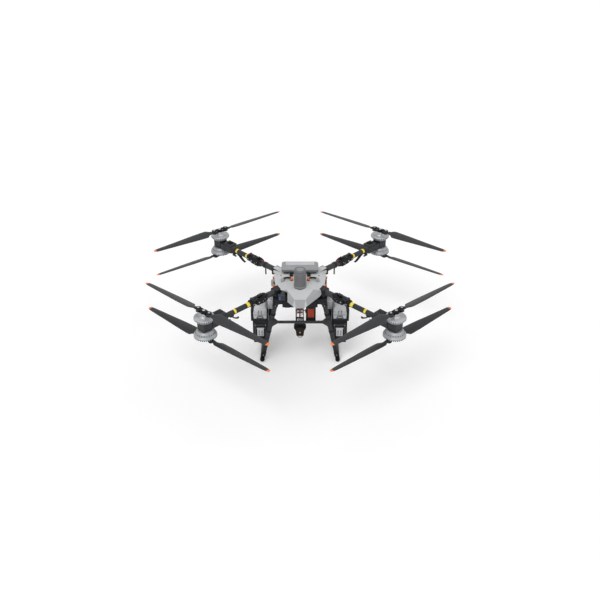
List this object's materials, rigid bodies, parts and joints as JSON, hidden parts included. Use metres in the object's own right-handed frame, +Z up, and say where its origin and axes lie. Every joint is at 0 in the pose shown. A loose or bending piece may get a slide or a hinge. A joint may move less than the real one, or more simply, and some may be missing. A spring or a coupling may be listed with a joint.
{
  "type": "coaxial cargo drone",
  "caption": "Heavy-lift cargo drone: folding arms with coaxial folding propellers, skid legs, side batteries, sensor tower, and a winch with a hook under the body.",
  "frame": {"origin": "on the ground, under the middle of the box round the drone as it stands unfolded", "axes": "+X to the left-hand rotors seen from the nose, -Y towards the nose, +Z up"},
  "size_m": [2.5914, 2.287, 0.922],
  "materials": {
    "shell_grey": "satin moulded",
    "black_nylon": "moulded, fine grain",
    "tube_carbon": "matt woven laminate",
    "blade_carbon": "matt laminate with orange tips",
    "motor_grey": "bead blasted and anodised",
    "tower_grey": "moulded, matt",
    "pod_grey": "moulded, matt",
    "orange_plastic": "moulded",
    "steel": "turned",
    "lead_rubber": "matt",
    "battery_case": "moulded, black body and light head",
    "winch_red": "anodised, finned",
    "camera_black": "satin",
    "line_red": "braided"
  },
  "bodies": {
    "root": {"top_shell": "shell_grey", "centre_frame": "black_nylon", "sensor_tower": "tower_grey", "parachute_pod": "pod_grey", "power_leads": "lead_rubber", "lead_plugs": "orange_plastic", "inner_arms": "tube_carbon", "hinge_brackets": "black_nylon", "hinge_pins": "steel", "battery_bays": "black_nylon", "power_boxes": "pod_grey", "landing_legs": "tube_carbon", "skid_tubes": "tube_carbon", "skid_caps": "lead_rubber", "cross_braces": "tube_carbon", "winch_frame": "black_nylon", "winch_motor": "winch_red", "antennas": "black_nylon"},
    "arm_fl": {"arm_tube_fl": "tube_carbon", "motor_mount_fl": "black_nylon"},
    "lever_fl": {"lock_lever_fl": "black_nylon"},
    "rotor_fl_upper": {"rotor_fl_upper": "motor_grey"},
    "blade_fl_upper_a": {"blade_fl_upper_a": "blade_carbon"},
    "blade_fl_upper_b": {"blade_fl_upper_b": "blade_carbon"},
    "rotor_fl_lower": {"rotor_fl_lower": "motor_grey"},
    "blade_fl_lower_a": {"blade_fl_lower_a": "blade_carbon"},
    "blade_fl_lower_b": {"blade_fl_lower_b": "blade_carbon"},
    "arm_fr": {"arm_tube_fr": "tube_carbon", "motor_mount_fr": "black_nylon"},
    "lever_fr": {"lock_lever_fr": "black_nylon"},
    "rotor_fr_upper": {"rotor_fr_upper": "motor_grey"},
    "blade_fr_upper_a": {"blade_fr_upper_a": "blade_carbon"},
    "blade_fr_upper_b": {"blade_fr_upper_b": "blade_carbon"},
    "rotor_fr_lower": {"rotor_fr_lower": "motor_grey"},
    "blade_fr_lower_a": {"blade_fr_lower_a": "blade_carbon"},
    "blade_fr_lower_b": {"blade_fr_lower_b": "blade_carbon"},
    "arm_rl": {"arm_tube_rl": "tube_carbon", "motor_mount_rl": "black_nylon"},
    "lever_rl": {"lock_lever_rl": "black_nylon"},
    "rotor_rl_upper": {"rotor_rl_upper": "motor_grey"},
    "blade_rl_upper_a": {"blade_rl_upper_a": "blade_carbon"},
    "blade_rl_upper_b": {"blade_rl_upper_b": "blade_carbon"},
    "rotor_rl_lower": {"rotor_rl_lower": "motor_grey"},
    "blade_rl_lower_a": {"blade_rl_lower_a": "blade_carbon"},
    "blade_rl_lower_b": {"blade_rl_lower_b": "blade_carbon"},
    "arm_rr": {"arm_tube_rr": "tube_carbon", "motor_mount_rr": "black_nylon"},
    "lever_rr": {"lock_lever_rr": "black_nylon"},
    "rotor_rr_upper": {"rotor_rr_upper": "motor_grey"},
    "blade_rr_upper_a": {"blade_rr_upper_a": "blade_carbon"},
    "blade_rr_upper_b": {"blade_rr_upper_b": "blade_carbon"},
    "rotor_rr_lower": {"rotor_rr_lower": "motor_grey"},
    "blade_rr_lower_a": {"blade_rr_lower_a": "blade_carbon"},
    "blade_rr_lower_b": {"blade_rr_lower_b": "blade_carbon"},
    "battery_left": {"battery_left": "battery_case"},
    "battery_right": {"battery_right": "battery_case"},
    "drum": {"winch_drum": "steel"},
    "hook": {"winch_line": "line_red", "cargo_hook": "black_nylon"},
    "camera": {"camera": "camera_black"}
  },
  "joints": [
    {"name": "arm_fold_fl", "type": "hinge", "parent": "root", "child": "arm_fl", "pos_m": [-0.35913, -0.32581, 0.718], "axis": [0.7009, -0.7133, 0], "range_deg": [0, 72]},
    {"name": "lock_lever_fl", "type": "hinge", "parent": "root", "child": "lever_fl", "pos_m": [-0.31919, -0.28656, 0.758], "axis": [-0.7009, 0.7133, 0], "range_deg": [0, 100]},
    {"name": "spin_fl_upper", "type": "hinge", "parent": "arm_fl", "child": "rotor_fl_upper", "pos_m": [-0.745, -0.705, 0.85], "axis": [0, 0, 1], "continuous": true},
    {"name": "fold_fl_upper_a", "type": "hinge", "parent": "rotor_fl_upper", "child": "blade_fl_upper_a", "pos_m": [-0.69944, -0.74405, 0.85], "axis": [0, 0, 1], "range_deg": [0, 83.1]},
    {"name": "fold_fl_upper_b", "type": "hinge", "parent": "rotor_fl_upper", "child": "blade_fl_upper_b", "pos_m": [-0.79056, -0.66595, 0.85], "axis": [0, 0, -1], "range_deg": [0, 92.9]},
    {"name": "spin_fl_lower", "type": "hinge", "parent": "arm_fl", "child": "rotor_fl_lower", "pos_m": [-0.745, -0.705, 0.61], "axis": [0, 0, 1], "continuous": true},
    {"name": "fold_fl_lower_a", "type": "hinge", "parent": "rotor_fl_lower", "child": "blade_fl_lower_a", "pos_m": [-0.69944, -0.74405, 0.61], "axis": [0, 0, 1], "range_deg": [0, 83.1]},
    {"name": "fold_fl_lower_b", "type": "hinge", "parent": "rotor_fl_lower", "child": "blade_fl_lower_b", "pos_m": [-0.79056, -0.66595, 0.61], "axis": [0, 0, -1], "range_deg": [0, 92.9]},
    {"name": "arm_fold_fr", "type": "hinge", "parent": "root", "child": "arm_fr", "pos_m": [0.35913, -0.32581, 0.718], "axis": [0.7009, 0.7133, 0], "range_deg": [0, 72]},
    {"name": "lock_lever_fr", "type": "hinge", "parent": "root", "child": "lever_fr", "pos_m": [0.31919, -0.28656, 0.758], "axis": [-0.7009, -0.7133, 0], "range_deg": [0, 100]},
    {"name": "spin_fr_upper", "type": "hinge", "parent": "arm_fr", "child": "rotor_fr_upper", "pos_m": [0.745, -0.705, 0.85], "axis": [0, 0, 1], "continuous": true},
    {"name": "fold_fr_upper_a", "type": "hinge", "parent": "rotor_fr_upper", "child": "blade_fr_upper_a", "pos_m": [0.69944, -0.74405, 0.85], "axis": [0, 0, -1], "range_deg": [0, 83.1]},
    {"name": "fold_fr_upper_b", "type": "hinge", "parent": "rotor_fr_upper", "child": "blade_fr_upper_b", "pos_m": [0.79056, -0.66595, 0.85], "axis": [0, 0, 1], "range_deg": [0, 92.9]},
    {"name": "spin_fr_lower", "type": "hinge", "parent": "arm_fr", "child": "rotor_fr_lower", "pos_m": [0.745, -0.705, 0.61], "axis": [0, 0, 1], "continuous": true},
    {"name": "fold_fr_lower_a", "type": "hinge", "parent": "rotor_fr_lower", "child": "blade_fr_lower_a", "pos_m": [0.69944, -0.74405, 0.61], "axis": [0, 0, -1], "range_deg": [0, 83.1]},
    {"name": "fold_fr_lower_b", "type": "hinge", "parent": "rotor_fr_lower", "child": "blade_fr_lower_b", "pos_m": [0.79056, -0.66595, 0.61], "axis": [0, 0, 1], "range_deg": [0, 92.9]},
    {"name": "arm_fold_rl", "type": "hinge", "parent": "root", "child": "arm_rl", "pos_m": [-0.41211, 0.38465, 0.718], "axis": [-0.6934, -0.7206, 0], "range_deg": [0, 72]},
    {"name": "lock_lever_rl", "type": "hinge", "parent": "root", "child": "lever_rl", "pos_m": [-0.37175, 0.34582, 0.758], "axis": [0.6934, 0.7206, 0], "range_deg": [0, 100]},
    {"name": "spin_rl_upper", "type": "hinge", "parent": "arm_rl", "child": "rotor_rl_upper", "pos_m": [-0.745, 0.705, 0.85], "axis": [0, 0, 1], "continuous": true},
    {"name": "fold_rl_upper_a", "type": "hinge", "parent": "rotor_rl_upper", "child": "blade_rl_upper_a", "pos_m": [-0.69734, 0.74144, 0.85], "axis": [0, 0, -1], "range_deg": [0, 79.3]},
    {"name": "fold_rl_upper_b", "type": "hinge", "parent": "rotor_rl_upper", "child": "blade_rl_upper_b", "pos_m": [-0.79266, 0.66856, 0.85], "axis": [0, 0, 1], "range_deg": [0, 96.7]},
    {"name": "spin_rl_lower", "type": "hinge", "parent": "arm_rl", "child": "rotor_rl_lower", "pos_m": [-0.745, 0.705, 0.61], "axis": [0, 0, 1], "continuous": true},
    {"name": "fold_rl_lower_a", "type": "hinge", "parent": "rotor_rl_lower", "child": "blade_rl_lower_a", "pos_m": [-0.69734, 0.74144, 0.61], "axis": [0, 0, -1], "range_deg": [0, 79.3]},
    {"name": "fold_rl_lower_b", "type": "hinge", "parent": "rotor_rl_lower", "child": "blade_rl_lower_b", "pos_m": [-0.79266, 0.66856, 0.61], "axis": [0, 0, 1], "range_deg": [0, 96.7]},
    {"name": "arm_fold_rr", "type": "hinge", "parent": "root", "child": "arm_rr", "pos_m": [0.41211, 0.38465, 0.718], "axis": [-0.6934, 0.7206, 0], "range_deg": [0, 72]},
    {"name": "lock_lever_rr", "type": "hinge", "parent": "root", "child": "lever_rr", "pos_m": [0.37175, 0.34582, 0.758], "axis": [0.6934, -0.7206, 0], "range_deg": [0, 100]},
    {"name": "spin_rr_upper", "type": "hinge", "parent": "arm_rr", "child": "rotor_rr_upper", "pos_m": [0.745, 0.705, 0.85], "axis": [0, 0, 1], "continuous": true},
    {"name": "fold_rr_upper_a", "type": "hinge", "parent": "rotor_rr_upper", "child": "blade_rr_upper_a", "pos_m": [0.69734, 0.74144, 0.85], "axis": [0, 0, 1], "range_deg": [0, 79.3]},
    {"name": "fold_rr_upper_b", "type": "hinge", "parent": "rotor_rr_upper", "child": "blade_rr_upper_b", "pos_m": [0.79266, 0.66856, 0.85], "axis": [0, 0, -1], "range_deg": [0, 96.7]},
    {"name": "spin_rr_lower", "type": "hinge", "parent": "arm_rr", "child": "rotor_rr_lower", "pos_m": [0.745, 0.705, 0.61], "axis": [0, 0, 1], "continuous": true},
    {"name": "fold_rr_lower_a", "type": "hinge", "parent": "rotor_rr_lower", "child": "blade_rr_lower_a", "pos_m": [0.69734, 0.74144, 0.61], "axis": [0, 0, 1], "range_deg": [0, 79.3]},
    {"name": "fold_rr_lower_b", "type": "hinge", "parent": "rotor_rr_lower", "child": "blade_rr_lower_b", "pos_m": [0.79266, 0.66856, 0.61], "axis": [0, 0, -1], "range_deg": [0, 96.7]},
    {"name": "battery_slide_left", "type": "slide", "parent": "root", "child": "battery_left", "axis": [-1, 0, 0], "range_m": [0, 0.18]},
    {"name": "battery_slide_right", "type": "slide", "parent": "root", "child": "battery_right", "axis": [1, 0, 0], "range_m": [0, 0.18]},
    {"name": "drum_turn", "type": "hinge", "parent": "root", "child": "drum", "pos_m": [0, -0.049, 0.45], "axis": [1, 0, 0], "range_deg": [0, 240]},
    {"name": "hook_lower", "type": "slide", "parent": "root", "child": "hook", "axis": [0, 0, -1], "range_m": [0, 0.14]},
    {"name": "camera_tilt", "type": "hinge", "parent": "root", "child": "camera", "pos_m": [-0.158, -0.226, 0.7], "axis": [1, 0, 0], "range_deg": [-25, 90]}
  ],
  "couplings": [
    {"joint": "fold_fl_upper_a", "follows": "arm_fold_fl", "ratio": 1.1403},
    {"joint": "fold_fl_upper_b", "follows": "arm_fold_fl", "ratio": 1.2764},
    {"joint": "fold_fl_lower_a", "follows": "arm_fold_fl", "ratio": 1.1403},
    {"joint": "fold_fl_lower_b", "follows": "arm_fold_fl", "ratio": 1.2764},
    {"joint": "fold_fr_upper_a", "follows": "arm_fold_fr", "ratio": 1.1403},
    {"joint": "fold_fr_upper_b", "follows": "arm_fold_fr", "ratio": 1.2764},
    {"joint": "fold_fr_lower_a", "follows": "arm_fold_fr", "ratio": 1.1403},
    {"joint": "fold_fr_lower_b", "follows": "arm_fold_fr", "ratio": 1.2764},
    {"joint": "fold_rl_upper_a", "follows": "arm_fold_rl", "ratio": 1.0875},
    {"joint": "fold_rl_upper_b", "follows": "arm_fold_rl", "ratio": 1.3292},
    {"joint": "fold_rl_lower_a", "follows": "arm_fold_rl", "ratio": 1.0875},
    {"joint": "fold_rl_lower_b", "follows": "arm_fold_rl", "ratio": 1.3292},
    {"joint": "fold_rr_upper_a", "follows": "arm_fold_rr", "ratio": 1.0875},
    {"joint": "fold_rr_upper_b", "follows": "arm_fold_rr", "ratio": 1.3292},
    {"joint": "fold_rr_lower_a", "follows": "arm_fold_rr", "ratio": 1.0875},
    {"joint": "fold_rr_lower_b", "follows": "arm_fold_rr", "ratio": 1.3292},
    {"joint": "hook_lower", "follows": "drum_turn", "m_per_rad": 0.0328}
  ]
}
